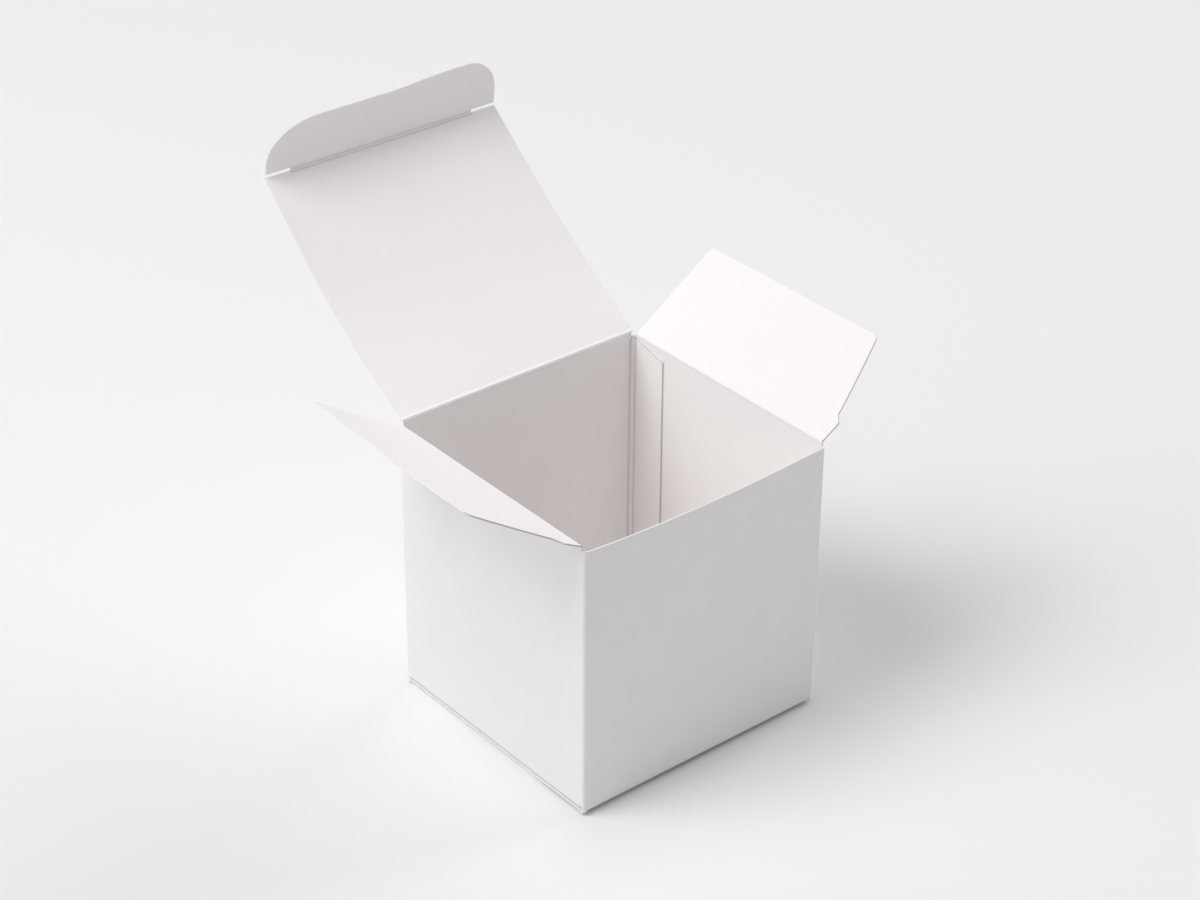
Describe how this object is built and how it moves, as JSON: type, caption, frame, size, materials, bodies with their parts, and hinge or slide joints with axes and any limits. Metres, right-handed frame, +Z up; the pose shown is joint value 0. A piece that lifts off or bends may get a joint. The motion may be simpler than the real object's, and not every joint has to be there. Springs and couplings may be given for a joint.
{
  "type": "tuck top folding carton",
  "caption": "Near-cubic folding carton of plain white paperboard, standing open, with a hinged lid, a tuck flap with slit locks, dust flaps and a tucked bottom.",
  "frame": {"origin": "middle of the base, on the surface the carton stands on", "axes": "+Z up, front wall towards -Y, the lid hinges on the back wall at +Y, +X to the right seen from the front"},
  "size_m": [0.1677, 0.1718, 0.181],
  "materials": {
    "board": "satin"
  },
  "bodies": {
    "carton": {"carton_body": "board"},
    "lid": {"lid_panel": "board"},
    "tuck": {"tuck_flap": "board"},
    "left_flap": {"left_dust_flap": "board"},
    "right_flap": {"right_dust_flap": "board"}
  },
  "joints": [
    {"name": "lid_hinge", "type": "hinge", "parent": "carton", "child": "lid", "pos_m": [0, 0.048, 0.103], "axis": [-1, 0, 0], "range_deg": [-142.5, 92.5]},
    {"name": "tuck_hinge", "type": "hinge", "parent": "lid", "child": "tuck", "pos_m": [0, 0.12384, 0.1612], "axis": [-1, 0, 0], "range_deg": [-38, 60]},
    {"name": "left_flap_hinge", "type": "hinge", "parent": "carton", "child": "left_flap", "pos_m": [-0.05, 0, 0.1022], "axis": [0, -1, 0], "range_deg": [-150.3, 109.7]},
    {"name": "right_flap_hinge", "type": "hinge", "parent": "carton", "child": "right_flap", "pos_m": [0.05, 0, 0.1022], "axis": [0, 1, 0], "range_deg": [-145.5, 114.5]}
  ]
}
